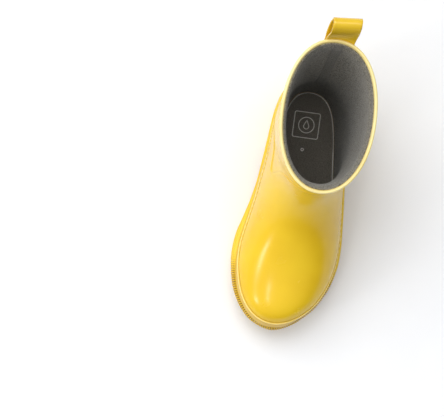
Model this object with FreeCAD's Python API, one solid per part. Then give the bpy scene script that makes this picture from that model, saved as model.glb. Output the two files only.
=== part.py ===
import FreeCAD, Part
import math
import os

from FreeCAD import Vector

# Pull-on rubber rain boot for a toddler, left foot, standing upright on its tread.
#
# Every shape is first drawn in the boot's own side view: forward runs from the back of the heel to the toe,
# up runs from the ground, and x runs outwards to the lateral side. place() turns (x, forward, up) into the
# part frame, where the toe points along -Y.

# Driving dimensions, in millimetres.
OVERLAY = 1.0
RUBBER = 2.2
LINING = 1.2
STIFFENER = 0.8
SOLE_EDGE = 2.2
BEAD_HEIGHT = 6.2
BOARD_DEPTH = 4.0
FOXING_HEIGHT = 10.3
FOXING_STEP = 0.5
BINDING_HEIGHT = 10.5
BINDING_CAP = 1.4
STAY_WIDTH = 10.0
STAY_STEP = 0.7
STRAP_WIDTH = 20.0
STRAP_THICKNESS = 1.5
BOARD = 1.8
FOAM = 3.4
COVER = 0.9
LABEL = 0.3
FOOTBED_GAP = 0.8
TAPE_WIDTH = 8.0
TAPE_THICKNESS = 0.5
HEEL_BREAST = 49.0
SOLE_TAPER = 3.5
SHANK_THICKNESS = 1.4
SHANK_WIDTH = 14.0
SHANK_SPAN = (48.0, 85.0)
FILLER_DEPTH = 3.0
HEEL_CORE_FLOOR = 8.0
LABEL_SIZE = 20.0
LABEL_CORNER = 3.0
LABEL_CENTRE = (30.7, 0.4)

# Depths of the boot's nested skins below its outer face.
BASE_SKIN = -OVERLAY
LINING_SKIN = BASE_SKIN - RUBBER
INNER_SKIN = LINING_SKIN - LINING

# Stations run from the toe over the foot, round the ankle and up the leg. Each is a flat section, wide along
# x, whose two ends are seen in the side view: (forward, up) of the sole or back end, (forward, up) of the
# top or front end, x of the medial side, x of the lateral side, place of the widest line between the ends,
# squareness of the sole end, squareness of the top end.
STATIONS = [
    (178.0, 12.0, 178.0, 28.0, -10.5, -1.5, 0.50, 2.6, 2.2),
    (176.6, 10.5, 176.6, 34.0, -15.5, 3.0, 0.50, 2.8, 2.2),
    (172.8, 9.0, 173.4, 39.8, -20.8, 8.5, 0.48, 3.2, 2.2),
    (166.0, 7.5, 168.3, 44.4, -26.4, 16.0, 0.44, 3.6, 2.2),
    (157.0, 6.5, 160.8, 46.8, -31.6, 24.0, 0.40, 4.2, 2.2),
    (146.0, 6.0, 151.0, 48.0, -35.2, 30.0, 0.36, 4.6, 2.2),
    (132.0, 5.5, 138.0, 51.2, -36.8, 34.0, 0.34, 5.0, 2.2),
    (117.0, 5.5, 124.5, 56.8, -36.2, 35.4, 0.32, 5.0, 2.2),
    (101.0, 6.0, 111.2, 64.4, -32.8, 34.6, 0.32, 5.0, 2.1),
    (84.0, 7.0, 100.0, 74.3, -29.6, 32.8, 0.34, 5.0, 2.1),
    (66.0, 8.0, 92.0, 84.0, -27.6, 31.0, 0.38, 5.0, 2.1),
    (47.0, 9.0, 87.2, 93.5, -25.5, 29.4, 0.42, 4.6, 2.1),
    (29.0, 9.5, 84.4, 102.5, -24.7, 28.6, 0.46, 4.0, 2.1),
    (13.0, 10.0, 82.6, 111.0, -25.0, 28.4, 0.50, 3.0, 2.1),
    (3.0, 15.0, 81.4, 118.5, -26.3, 28.6, 0.50, 2.4, 2.1),
    (0.4, 28.0, 80.8, 125.0, -27.7, 29.0, 0.50, 2.2, 2.1),
    (-1.0, 42.0, 80.4, 131.0, -29.2, 29.0, 0.50, 2.2, 2.1),
    (-1.8, 58.0, 80.4, 137.0, -29.8, 29.4, 0.50, 2.2, 2.1),
    (-2.4, 76.0, 80.6, 143.0, -30.4, 29.8, 0.50, 2.2, 2.1),
    (-4.5, 94.0, 81.0, 149.0, -31.2, 30.2, 0.50, 2.2, 2.1),
    (-9.8, 113.0, 81.4, 155.5, -32.0, 30.6, 0.50, 2.2, 2.1),
    (-15.8, 133.0, 82.1, 162.0, -33.0, 31.0, 0.50, 2.2, 2.1),
    (-20.8, 153.0, 82.8, 166.8, -33.8, 31.2, 0.50, 2.2, 2.1),
    (-22.0, 165.4, 83.2, 169.6, -34.2, 31.4, 0.50, 2.2, 2.1),
]
POLES_AROUND = 24

# The welt, where upper meets sole: its plan outline as (forward, medial x, lateral x) and
# its height in the side view as (forward, up).
PLAN = [
    (0.0, 0.0, 0.0),
    (3.5, -10.6, 13.0),
    (11.0, -17.8, 21.4),
    (25.0, -22.4, 26.6),
    (45.0, -24.9, 29.2),
    (62.0, -26.7, 31.0),
    (76.0, -28.1, 32.4),
    (90.0, -30.4, 33.8),
    (102.0, -33.0, 34.8),
    (115.0, -36.1, 35.6),
    (128.0, -37.2, 34.9),
    (141.0, -36.2, 31.9),
    (151.5, -33.9, 27.1),
    (160.0, -30.2, 21.5),
    (167.0, -25.5, 14.4),
    (173.2, -18.6, 6.2),
    (177.4, -6.0, -6.0),
]
WELT_LINE = [
    (-60.0, 24.4),
    (0.0, 24.4),
    (25.0, 24.9),
    (52.0, 23.8),
    (80.0, 21.8),
    (102.0, 19.4),
    (118.0, 18.6),
    (132.0, 19.3),
    (146.0, 21.3),
    (160.0, 23.8),
    (172.0, 26.8),
    (182.0, 29.8),
    (230.0, 50.0),
]

# Plans of the hidden core of the heel and of the forefoot filler: (forward, x) round each pad.
HEEL_CORE_PLAN = [(10.0, 0.0), (15.0, 12.0), (28.0, 16.0), (40.0, 15.0),
                  (40.0, -15.0), (28.0, -16.0), (15.0, -12.0)]
FILLER_PLAN = [(88.0, 2.0), (92.0, 22.0), (112.0, 26.0), (132.0, 25.0), (148.0, 16.0), (157.0, -4.0),
               (148.0, -22.0), (132.0, -27.0), (112.0, -26.0), (92.0, -20.0)]

# The tread in the side view: saw teeth under heel and forefoot, steep on one side.
HEEL_TEETH = [(13.0, 0.0), (20.5, 0.0), (35.5, 0.0)]
HEEL_TOOTH_DEPTH = 5.2
WAIST_UNDERSIDE = [(HEEL_BREAST, 9.6), (66.0, 8.6), (83.0, 7.0)]
FOREFOOT_TEETH = [(86.0, 0.9), (99.5, 0.0), (113.0, 0.0), (126.5, 0.3), (140.0, 2.8), (153.0, 6.0)]
FOREFOOT_TOOTH_DEPTH = 3.0

# The pull loop in the side view: the free loop from its root at the mouth over the top and down behind, then
# the fixed foot of each end. Both ends are sewn to the outside of the leg, the second over the first.
LOOP_PATH = [
    (-22.6, 168.2),
    (-23.0, 171.4),
    (-24.8, 176.8),
    (-27.6, 182.4),
    (-31.6, 184.4),
    (-35.0, 180.8),
    (-34.3, 175.6),
    (-31.0, 169.8),
    (-26.8, 163.8),
]
INNER_STUB = [(-22.1, 163.0), (-22.35, 165.2), (-22.6, 167.4)]
INNER_TAIL_LOW = 156.5
OUTER_TAIL = (155.5, 160.4)

# Limits well outside the boot, for the tools that cut the skins into pieces.
FAR_BACK = -60.0
FAR_FRONT = 220.0
FAR_BELOW = -80.0
FAR_UP = 220.0
HALF_SPAN = 90.0

# The V seam over the ankle in the side view: the back arm falls forward to the vertex, the front arm climbs.
SEAM_VERTEX = (66.5, 60.0)
BACK_ARM = [(-30.0, 97.0), (-2.0, 91.5), (12.0, 86.0), (28.0, 78.0), (44.0, 70.0), (58.0, 63.0), SEAM_VERTEX]
FRONT_ARM = [SEAM_VERTEX, (68.4, 72.0), (68.6, 86.0), (71.0, 98.0), (76.0, 108.0), (82.0, 114.0),
             (110.0, 121.0)]

# Zones in the side view, as (forward, up) corners: where each partial piece lies along its skin.
STAY_ZONE = [(FAR_BACK, 0.0), (FAR_BACK, FAR_UP), (20.0, FAR_UP), (30.0, 100.0), (30.0, 0.0)]
HEEL_SHELL_ZONE = [
    (FAR_BACK, FAR_BELOW),
    (FAR_BACK, FAR_UP),
    (SEAM_VERTEX[0], FAR_UP),
    (SEAM_VERTEX[0], FAR_BELOW),
]
TOE_PUFF_ZONE = [(148.0, 0.0), (156.0, 80.0), (200.0, 80.0), (200.0, 0.0)]
STIFFENER_ZONE = [(-40.0, 0.0), (-40.0, 62.0), (8.0, 62.0), (46.0, 44.0), (52.0, 0.0)]
LEG_LINING_ZONE = [(FAR_BACK, 58.0), (FAR_BACK, 240.0), (140.0, 240.0), (140.0, 105.0), (84.0, 100.0)]
TAPE_ZONE = [(FAR_BACK, 70.0), (FAR_BACK, FAR_UP), (10.0, FAR_UP), (20.0, 70.0)]


def vector_in_side_view(forward, up, x=0.0):
    """Vector in the drawing frame: x outwards, -Y forward, Z up, zero at the back of the heel."""
    return Vector(x, -forward, up)


def section_poles(station):
    """Control points of one station, from its sole or back end round the lateral side and back."""
    f0, z0, f1, z1, medial, lateral, widest, square_low, square_high = station
    swell = 3.0 / (2.0 + math.cos(2.0 * math.pi / POLES_AROUND))
    middle = (medial + lateral) / 2.0
    low = vector_in_side_view(f0, z0, middle)
    along = vector_in_side_view(f1, z1, middle) - low
    poles = []
    for i in range(POLES_AROUND):
        angle = 2.0 * math.pi * i / POLES_AROUND
        c, s = math.cos(angle), math.sin(angle)
        square = square_low if c > 0.0 else square_high
        reach = abs(c) ** (2.0 / square) * swell
        half = widest if c > 0.0 else 1.0 - widest
        t = widest - math.copysign(half * reach, c)
        width = abs(s) ** (2.0 / square) * swell
        x = math.copysign(width, s) * (lateral - medial) / 2.0
        poles.append(low + along * t + Vector(x, 0.0, 0.0))
    return poles


def skin_net(offset):
    """Control net of the boot's skin, moved outwards by offset, with both end rows kept flat."""
    rows = [section_poles(station) for station in STATIONS]
    rim_low = vector_in_side_view(*STATIONS[-1][0:2])
    rim_along = (vector_in_side_view(*STATIONS[-1][2:4]) - rim_low).normalize()
    rim_normal = rim_along.cross(Vector(1.0, 0.0, 0.0))
    moved = []
    last = len(rows) - 1
    for r, row in enumerate(rows):
        new_row = []
        for i, pole in enumerate(row):
            along = rows[min(r + 1, last)][i] - rows[max(r - 1, 0)][i]
            around = row[(i + 1) % POLES_AROUND] - row[i - 1]
            normal = along.cross(around).normalize()
            new_row.append(pole + normal * offset)
        moved.append(new_row)
    toe_y = sum(p.y for p in moved[0]) / POLES_AROUND
    if offset < 0.0:
        toe_y = rows[0][0].y - offset
    moved[0] = [Vector(p.x, toe_y, p.z) for p in moved[0]]
    moved[-1] = [p - rim_normal * rim_normal.dot(p - rim_low) for p in moved[-1]]
    return moved


def clamped_knots(count):
    """Multiplicities and knots of a clamped uniform cubic with this many poles."""
    knots = list(range(count - 2))
    mults = [4] + [1] * (count - 4) + [4]
    return mults, [float(k) for k in knots]


def skin_solid(offset):
    """Closed solid of the boot's skin at this offset, flat at the toe's tip and at the mouth."""
    net = skin_net(offset)
    mults, knots = clamped_knots(len(net))
    around = [float(k) for k in range(POLES_AROUND + 1)]
    surface = Part.BSplineSurface()
    surface.buildFromPolesMultsKnots(
        net, mults, [1] * (POLES_AROUND + 1), knots, around, False, True, 3, 3
    )
    ends = [surface.uIso(knots[0]).toShape(), surface.uIso(knots[-1]).toShape()]
    caps = [Part.Face(Part.Wire([end])) for end in ends]
    shell = Part.makeShell([surface.toShape()] + caps)
    shell.sewShape()
    solid = Part.Solid(shell)
    if solid.Volume < 0.0:
        solid.reverse()
    return solid


def spline(points, closed=False):
    """Smooth edge through the points."""
    curve = Part.BSplineCurve()
    curve.interpolate(Points=points, PeriodicFlag=closed)
    return curve.toShape()


def slab(edges, x_from=-HALF_SPAN, x_to=HALF_SPAN):
    """Side-view outline of edges pulled along x into a solid."""
    face = Part.Face(Part.Wire(Part.__sortEdges__(edges)))
    face.translate(Vector(x_from, 0.0, 0.0))
    return face.extrude(Vector(x_to - x_from, 0.0, 0.0))


def polygon_slab(corners, x_from=-HALF_SPAN, x_to=HALF_SPAN):
    """Solid from the straight-sided side-view outline (forward, up)."""
    points = [vector_in_side_view(f, z) for f, z in corners]
    return slab(Part.makePolygon(points + points[:1]).Edges, x_from, x_to)


def welt_edge(shift, f_from, f_to):
    """Stretch of the welt line in the side view, shifted up, and its two end points."""
    curve = Part.BSplineCurve()
    curve.interpolate(Points=[vector_in_side_view(f, z + shift) for f, z in WELT_LINE])
    cuts = []
    for f in (f_from, f_to):
        upright = Part.Plane(Vector(0.0, -f, 0.0), Vector(0.0, 1.0, 0.0))
        crossing = curve.intersect(upright)[0][0]
        cuts.append(curve.parameter(Vector(crossing.X, crossing.Y, crossing.Z)))
    curve.segment(*cuts)
    return curve.toShape(), curve.StartPoint, curve.EndPoint


def band_above_welt(low, high, f_from=-50.0, f_to=FAR_FRONT, half_width=HALF_SPAN):
    """Everything between two copies of the welt line, shifted up by low and high."""
    low_edge, low_start, low_end = welt_edge(low, f_from, f_to)
    high_edge, high_start, high_end = welt_edge(high, f_from, f_to)
    sides = [Part.makeLine(low_start, high_start), Part.makeLine(low_end, high_end)]
    return slab([low_edge, high_edge] + sides, -half_width, half_width)


def plan_points(grow):
    """Plan outline of the welt moved outwards by grow, at height zero."""
    lateral = [(f, right) for f, left, right in PLAN]
    medial = [(f, left) for f, left, right in PLAN[1:-1]]
    loop = lateral + medial[::-1]
    points = []
    for i, (f, x) in enumerate(loop):
        f_next, x_next = loop[(i + 1) % len(loop)]
        f_last, x_last = loop[i - 1]
        run = math.hypot(f_next - f_last, x_next - x_last)
        out_f = -(x_next - x_last) / run
        out_x = (f_next - f_last) / run
        points.append(Vector(x + grow * out_x, -(f + grow * out_f), 0.0))
    return points


def plan_wire(grow, up):
    """Closed smooth wire of the plan outline at one height."""
    wire = Part.Wire([spline(plan_points(grow), closed=True)])
    wire.translate(Vector(0.0, 0.0, up))
    return wire


def plan_block(grow, low, high):
    """Upright block on the plan outline."""
    return Part.Face(plan_wire(grow, low)).extrude(Vector(0.0, 0.0, high - low))


def pad_block(plan, low, high):
    """Upright block on a closed plan through the points."""
    points = [Vector(x, -f, low) for f, x in plan]
    face = Part.Face(Part.Wire([spline(points, closed=True)]))
    return face.extrude(Vector(0.0, 0.0, high - low))


def tapered_block(grow_low, grow_high, low, high):
    """Block whose outline changes from the ground to its top."""
    return Part.makeLoft([plan_wire(grow_low, low), plan_wire(grow_high, high)], True)


def whole(shape):
    """The largest solid of a boolean result."""
    return max(shape.Solids, key=lambda s: s.Volume)


def tread_outline():
    """Side-view corners of the sole's underside, from the back of the heel to the toe."""
    corners = [(-8.0, 40.0), (-1.0, 19.0), (2.5, 11.0), (7.5, 3.5)]
    heel_ends = [f for f, z in HEEL_TEETH[1:]] + [HEEL_BREAST]
    for (start, up), end in zip(HEEL_TEETH, heel_ends):
        if start > HEEL_TEETH[0][0]:
            corners.append((start, up + HEEL_TOOTH_DEPTH))
            corners.append((start + 7.0, up + 0.4))
        corners.append((end - (3.0 if end < HEEL_BREAST else 1.5), up))
    corners.extend(WAIST_UNDERSIDE)
    for i, (start, up) in enumerate(FOREFOOT_TEETH):
        corners.append((start + 1.8, up))
        last = i == len(FOREFOOT_TEETH) - 1
        if not last:
            after, up_after = FOREFOOT_TEETH[i + 1]
            corners.append((start + 4.6, up))
            corners.append((after, up_after + FOREFOOT_TOOTH_DEPTH))
    corners.extend([(162.0, 8.4), (172.0, 12.6), (178.5, 18.5), (184.0, 60.0)])
    return corners


def build_sole():
    """Outsole with its tread, and the pieces hidden in it and on it under the foot."""
    board_top = -BOARD_DEPTH
    board_low = board_top - BOARD
    below_upper = band_above_welt(FAR_BELOW, -BEAD_HEIGHT)
    body = tapered_block(SOLE_EDGE - SOLE_TAPER, SOLE_EDGE, 0.0, 45.0)
    body = body.common(below_upper).common(polygon_slab(tread_outline()))
    heel_core = pad_block(HEEL_CORE_PLAN, HEEL_CORE_FLOOR, 40.0)
    heel_core = heel_core.common(band_above_welt(FAR_BELOW, board_low))
    filler = pad_block(FILLER_PLAN, 0.0, 45.0)
    filler = filler.common(band_above_welt(board_low - FILLER_DEPTH, board_low))
    shank = band_above_welt(board_low - SHANK_THICKNESS, board_low, *SHANK_SPAN, SHANK_WIDTH / 2.0)
    board = skin_solid(LINING_SKIN).common(band_above_welt(board_low, board_top))
    hollow = band_above_welt(board_low, board_top + 2.0).common(skin_solid(LINING_SKIN))
    outsole = body.cut(hollow)
    for buried in (heel_core, filler, shank):
        outsole = outsole.cut(buried)
    return {
        "outsole": whole(outsole),
        "heel_core": whole(heel_core),
        "bottom_filler": whole(filler),
        "shank": whole(shank),
        "insole_board": whole(board),
    }


def build_upper():
    """Rubber leg and foot shell, its overlays, bead and hidden stiffeners."""
    outer = skin_solid(0.0)
    base = skin_solid(BASE_SKIN)
    inner = skin_solid(LINING_SKIN)
    above_sole = band_above_welt(-BEAD_HEIGHT, FAR_UP)
    stiff = skin_solid(LINING_SKIN + STIFFENER).cut(inner).common(band_above_welt(1.0, FAR_UP))
    toe_puff = whole(stiff.common(polygon_slab(TOE_PUFF_ZONE)))
    counter_stiffener = whole(stiff.common(polygon_slab(STIFFENER_ZONE)))
    shell = base.cut(inner).common(above_sole).cut(toe_puff).cut(counter_stiffener)
    foot = shell.common(slab(overlay_edges()))
    heel_side = polygon_slab(HEEL_SHELL_ZONE)

    overlay = outer.cut(base)
    foxing = skin_solid(FOXING_STEP).cut(base).common(band_above_welt(-BEAD_HEIGHT, FOXING_HEIGHT))
    above_foxing = overlay.common(band_above_welt(FOXING_HEIGHT, FAR_UP))
    foot_overlay = whole(above_foxing.common(slab(overlay_edges())))
    stay = skin_solid(STAY_STEP).cut(base).common(band_above_welt(FOXING_HEIGHT, FAR_UP))
    stay = stay.common(polygon_slab(STAY_ZONE, -STAY_WIDTH / 2.0, STAY_WIDTH / 2.0))
    stay = stay.cut(binding_zone()).cut(foot_overlay)
    bead = plan_block(SOLE_EDGE, 0.0, 60.0).common(band_above_welt(-BEAD_HEIGHT, 0.0))
    bead = bead.cut(skin_solid(FOXING_STEP))
    binding = overlay.common(binding_zone())
    rim = rim_ring(0.0, INNER_SKIN, BINDING_CAP)
    return {
        "leg_shaft": whole(shell.cut(foot)),
        "vamp_shell": whole(foot.cut(heel_side)),
        "heel_shell": whole(foot.common(heel_side)),
        "toe_puff": toe_puff,
        "counter_stiffener": counter_stiffener,
        "foxing_strip": whole(foxing),
        "foot_overlay": foot_overlay,
        "back_stay": whole(stay),
        "welt_bead": whole(bead),
        "top_binding": whole(binding.fuse(rim).removeSplitter()),
    }


def chain(points):
    """Smooth side-view edge through (forward, up) points."""
    return spline([vector_in_side_view(f, z) for f, z in points])


def straight(points):
    """Straight side-view edges through (forward, up) points."""
    return Part.makePolygon([vector_in_side_view(f, z) for f, z in points]).Edges


def overlay_edges():
    """Side-view outline of the foot overlay: under both arms of the V, down past the sole."""
    corners = [FRONT_ARM[-1], (240.0, 121.0), (240.0, -20.0), (-30.0, -20.0), BACK_ARM[0]]
    return [chain(BACK_ARM), chain(FRONT_ARM)] + straight(corners)


def rim_frame():
    """Back end of the mouth, unit direction to its front and the mouth's upward normal."""
    f0, z0, f1, z1 = STATIONS[-1][0:4]
    low = vector_in_side_view(f0, z0)
    along = (vector_in_side_view(f1, z1) - low).normalize()
    return low, along, along.cross(Vector(1.0, 0.0, 0.0))


def binding_zone():
    """Everything in the binding's height under the mouth plane."""
    low, along, normal = rim_frame()
    back, front = low - along * 60.0, low + along * 170.0
    corners = [back, front, front - normal * BINDING_HEIGHT, back - normal * BINDING_HEIGHT, back]
    return slab(Part.makePolygon(corners).Edges)


def mouth_wire(offset):
    """Edge of the mouth on the skin at this offset."""
    net = skin_net(offset)
    curve = Part.BSplineCurve()
    around = [float(k) for k in range(POLES_AROUND + 1)]
    curve.buildFromPolesMultsKnots(net[-1], [1] * (POLES_AROUND + 1), around, True, 3)
    return Part.Wire([curve.toShape()])


def rim_ring(outside, inside, height):
    """Flat-topped ring on the mouth plane, over rubber and lining."""
    normal = rim_frame()[2]
    outer = Part.Face(mouth_wire(outside)).extrude(normal * height)
    inner = Part.Face(mouth_wire(inside)).extrude(normal * height)
    return outer.cut(inner)


def back_strip(outer, inner, zone, width):
    """Strip of one width between two skins, down the back of the leg."""
    layer = skin_solid(outer).cut(skin_solid(inner))
    return layer.common(polygon_slab(zone, -width / 2.0, width / 2.0))


def seam_tape():
    """Tape over the lining's back seam."""
    return back_strip(INNER_SKIN, INNER_SKIN - TAPE_THICKNESS, TAPE_ZONE, TAPE_WIDTH)


def build_inside():
    """Lining, seam tape and the loose footbed."""
    lining_outer = skin_solid(LINING_SKIN)
    lining_inner = skin_solid(INNER_SKIN)
    board_top = -BOARD_DEPTH
    lining = lining_outer.cut(lining_inner).common(band_above_welt(board_top, FAR_UP))
    leg_zone = polygon_slab(LEG_LINING_ZONE)

    footbed_core = skin_solid(INNER_SKIN - FOOTBED_GAP)
    foam = footbed_core.common(band_above_welt(board_top, board_top + FOAM))
    cover = footbed_core.common(band_above_welt(board_top + FOAM, board_top + FOAM + COVER))
    label = band_above_welt(board_top + FOAM + COVER, board_top + FOAM + COVER + LABEL)
    forward, x = LABEL_CENTRE
    corner = vector_in_side_view(forward + LABEL_SIZE / 2.0, 0.0, x - LABEL_SIZE / 2.0)
    square = Part.makeBox(LABEL_SIZE, LABEL_SIZE, 60.0, corner)
    square = square.makeFillet(LABEL_CORNER, [e for e in square.Edges if e.Length > 50.0])
    return {
        "leg_lining": whole(lining.common(leg_zone)),
        "foot_lining": whole(lining.cut(leg_zone)),
        "lining_seam_tape": whole(seam_tape()),
        "footbed_foam": whole(foam),
        "footbed_cover": whole(cover),
        "footbed_label": whole(label.common(square)),
    }


def strap(path, width, thickness):
    """Flat strap of constant thickness on a smooth side-view path."""
    points = [vector_in_side_view(f, z) for f, z in path]
    edge = spline(points)
    curve = edge.Curve
    samples = 28
    left, right = [], []
    for i in range(samples + 1):
        u = curve.FirstParameter + (curve.LastParameter - curve.FirstParameter) * i / samples
        tangent = curve.tangent(u)[0]
        normal = tangent.cross(Vector(1.0, 0.0, 0.0))
        point = curve.value(u)
        left.append(point + normal * (thickness / 2.0))
        right.append(point - normal * (thickness / 2.0))
    edges = [
        spline(left),
        spline(right),
        Part.makeLine(left[0], right[0]),
        Part.makeLine(left[-1], right[-1]),
    ]
    return slab(edges, -width / 2.0, width / 2.0)


def build_loop():
    """Pull loop behind the mouth, and the two sewn ends that hold it to the leg."""
    inner_zone = [(FAR_BACK, INNER_TAIL_LOW), (FAR_BACK, FAR_UP), (10.0, FAR_UP), (10.0, INNER_TAIL_LOW)]
    inner = back_strip(STRAP_THICKNESS, 0.0, inner_zone, STRAP_WIDTH)
    rim = rim_ring(0.0, INNER_SKIN, BINDING_CAP)
    stub = strap(INNER_STUB, STRAP_WIDTH, STRAP_THICKNESS).cut(skin_solid(0.0)).cut(rim)
    low, high = OUTER_TAIL
    outer_zone = [(FAR_BACK, low), (FAR_BACK, high), (10.0, high), (10.0, low)]
    outer = back_strip(2.0 * STRAP_THICKNESS, STRAP_THICKNESS, outer_zone, STRAP_WIDTH)
    return {
        "pull_loop": strap(LOOP_PATH, STRAP_WIDTH, STRAP_THICKNESS),
        "loop_tail_inner": whole(inner.fuse(stub).removeSplitter()),
        "loop_tail_outer": whole(outer),
    }


def main():
    """Build every piece, centre the boot over its footprint and write one STEP for each."""
    pieces = {}
    for build in (build_sole, build_upper, build_inside, build_loop):
        pieces.update(build())
    box = FreeCAD.BoundBox()
    for shape in pieces.values():
        box.add(shape.optimalBoundingBox(False, False))
    shift = Vector(-box.Center.x, -box.Center.y, -box.ZMin)
    os.makedirs("parts", exist_ok=True)
    for name, shape in pieces.items():
        shape.translate(shift)
        shape.exportStep("parts/" + name + ".step")
        print(name, len(shape.Solids), shape.isValid(), round(shape.Volume, 1), shape.BoundBox)
    print("shift", shift, "box", box)


main()
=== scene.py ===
import math

import bpy
import numpy as np
from mathutils import Matrix, Vector


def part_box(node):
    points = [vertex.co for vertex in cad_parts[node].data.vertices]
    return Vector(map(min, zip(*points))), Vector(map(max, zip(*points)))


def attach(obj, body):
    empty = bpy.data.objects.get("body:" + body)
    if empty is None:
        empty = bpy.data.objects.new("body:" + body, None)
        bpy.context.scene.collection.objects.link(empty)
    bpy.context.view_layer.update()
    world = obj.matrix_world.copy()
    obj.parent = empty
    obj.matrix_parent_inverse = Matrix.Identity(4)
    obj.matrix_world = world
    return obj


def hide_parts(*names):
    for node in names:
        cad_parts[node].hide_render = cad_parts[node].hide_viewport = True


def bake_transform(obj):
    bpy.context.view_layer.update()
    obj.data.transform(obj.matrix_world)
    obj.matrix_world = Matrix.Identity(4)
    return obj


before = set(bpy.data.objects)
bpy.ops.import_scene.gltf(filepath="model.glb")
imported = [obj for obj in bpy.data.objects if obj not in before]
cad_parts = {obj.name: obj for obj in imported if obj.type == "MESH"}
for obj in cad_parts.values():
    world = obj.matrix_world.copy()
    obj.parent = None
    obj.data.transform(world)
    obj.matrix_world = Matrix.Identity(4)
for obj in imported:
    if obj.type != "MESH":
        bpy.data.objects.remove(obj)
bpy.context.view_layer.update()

# A toddler's pull-on rain boot. Shapes are worked out in the boot's own side view, in millimetres: x outwards,
# forward from the back of the heel to the toe, up from the ground. A point is held as (x, -forward, up), and
# new_piece() turns it into the frame, in metres.
MM = 0.001
STRAP_WIDTH = 20.0
LABEL_FORWARD = 30.7

strap_low, strap_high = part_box("pull_loop")
label_low, label_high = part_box("footbed_label")
ORIGIN = np.array(
    [(strap_low.x + strap_high.x) / 2.0, (label_low.y + label_high.y) / 2.0 + LABEL_FORWARD * MM, 0.0]
)

# ---------------------------------------------------------------------------------------------------------
# The boot's skin, as in the CAD model: stations from the toe over the foot, round the ankle and up the leg.
# Each is (forward, up) of the sole or back end, (forward, up) of the top or front end, medial x, lateral x,
# place of the widest line, squareness of the sole end, squareness of the top end.
STATIONS = [
    (178.0, 12.0, 178.0, 28.0, -10.5, -1.5, 0.50, 2.6, 2.2),
    (176.6, 10.5, 176.6, 34.0, -15.5, 3.0, 0.50, 2.8, 2.2),
    (172.8, 9.0, 173.4, 39.8, -20.8, 8.5, 0.48, 3.2, 2.2),
    (166.0, 7.5, 168.3, 44.4, -26.4, 16.0, 0.44, 3.6, 2.2),
    (157.0, 6.5, 160.8, 46.8, -31.6, 24.0, 0.40, 4.2, 2.2),
    (146.0, 6.0, 151.0, 48.0, -35.2, 30.0, 0.36, 4.6, 2.2),
    (132.0, 5.5, 138.0, 51.2, -36.8, 34.0, 0.34, 5.0, 2.2),
    (117.0, 5.5, 124.5, 56.8, -36.2, 35.4, 0.32, 5.0, 2.2),
    (101.0, 6.0, 111.2, 64.4, -32.8, 34.6, 0.32, 5.0, 2.1),
    (84.0, 7.0, 100.0, 74.3, -29.6, 32.8, 0.34, 5.0, 2.1),
    (66.0, 8.0, 92.0, 84.0, -27.6, 31.0, 0.38, 5.0, 2.1),
    (47.0, 9.0, 87.2, 93.5, -25.5, 29.4, 0.42, 4.6, 2.1),
    (29.0, 9.5, 84.4, 102.5, -24.7, 28.6, 0.46, 4.0, 2.1),
    (13.0, 10.0, 82.6, 111.0, -25.0, 28.4, 0.50, 3.0, 2.1),
    (3.0, 15.0, 81.4, 118.5, -26.3, 28.6, 0.50, 2.4, 2.1),
    (0.4, 28.0, 80.8, 125.0, -27.7, 29.0, 0.50, 2.2, 2.1),
    (-1.0, 42.0, 80.4, 131.0, -29.2, 29.0, 0.50, 2.2, 2.1),
    (-1.8, 58.0, 80.4, 137.0, -29.8, 29.4, 0.50, 2.2, 2.1),
    (-2.4, 76.0, 80.6, 143.0, -30.4, 29.8, 0.50, 2.2, 2.1),
    (-4.5, 94.0, 81.0, 149.0, -31.2, 30.2, 0.50, 2.2, 2.1),
    (-9.8, 113.0, 81.4, 155.5, -32.0, 30.6, 0.50, 2.2, 2.1),
    (-15.8, 133.0, 82.1, 162.0, -33.0, 31.0, 0.50, 2.2, 2.1),
    (-20.8, 153.0, 82.8, 166.8, -33.8, 31.2, 0.50, 2.2, 2.1),
    (-22.0, 165.4, 83.2, 169.6, -34.2, 31.4, 0.50, 2.2, 2.1),
]
POLES_AROUND = 24

# The welt, where upper meets sole: plan outline as (forward, medial x, lateral x), height as (forward, up).
PLAN = [
    (0.0, 0.0, 0.0),
    (3.5, -10.6, 13.0),
    (11.0, -17.8, 21.4),
    (25.0, -22.4, 26.6),
    (45.0, -24.9, 29.2),
    (62.0, -26.7, 31.0),
    (76.0, -28.1, 32.4),
    (90.0, -30.4, 33.8),
    (102.0, -33.0, 34.8),
    (115.0, -36.1, 35.6),
    (128.0, -37.2, 34.9),
    (141.0, -36.2, 31.9),
    (151.5, -33.9, 27.1),
    (160.0, -30.2, 21.5),
    (167.0, -25.5, 14.4),
    (173.2, -18.6, 6.2),
    (177.4, -6.0, -6.0),
]
WELT_LINE = [
    (-60.0, 24.4),
    (0.0, 24.4),
    (25.0, 24.9),
    (52.0, 23.8),
    (80.0, 21.8),
    (102.0, 19.4),
    (118.0, 18.6),
    (132.0, 19.3),
    (146.0, 21.3),
    (160.0, 23.8),
    (172.0, 26.8),
    (182.0, 29.8),
    (230.0, 50.0),
]
SOLE_EDGE = 2.2
FOXING_HEIGHT = 10.3
BINDING_HEIGHT = 10.5
STAY_WIDTH = 10.0
LINING_DEPTH = 3.2
INNER_DEPTH = 4.4
BOARD_DEPTH = 4.0
FOAM = 3.4
COVER = 0.9
FOOTBED_GAP = 0.8
TAPE_WIDTH = 8.0
STRAP_THICKNESS = 1.5

# The V seam over the ankle as (forward, up), from the back of the leg to its vertex and up to the front.
SEAM = [
    (-30.0, 97.0), (-2.0, 91.5), (12.0, 86.0), (28.0, 78.0), (44.0, 70.0), (57.0, 63.6), (63.5, 60.8),
    (67.2, 61.4), (68.6, 66.0), (68.6, 75.0), (68.8, 86.0), (71.0, 98.0), (76.0, 108.0), (82.0, 114.0),
    (96.0, 118.6), (110.0, 121.0),
]
# The line inside the boot where the leg's lining is sewn to the foot's, as (forward, up).
LINING_JOIN = [(-60.0, 58.0), (84.0, 100.0), (140.0, 105.0)]


# ---------------------------------------------------------------------------------------------------------
# Curves and surfaces


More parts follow.
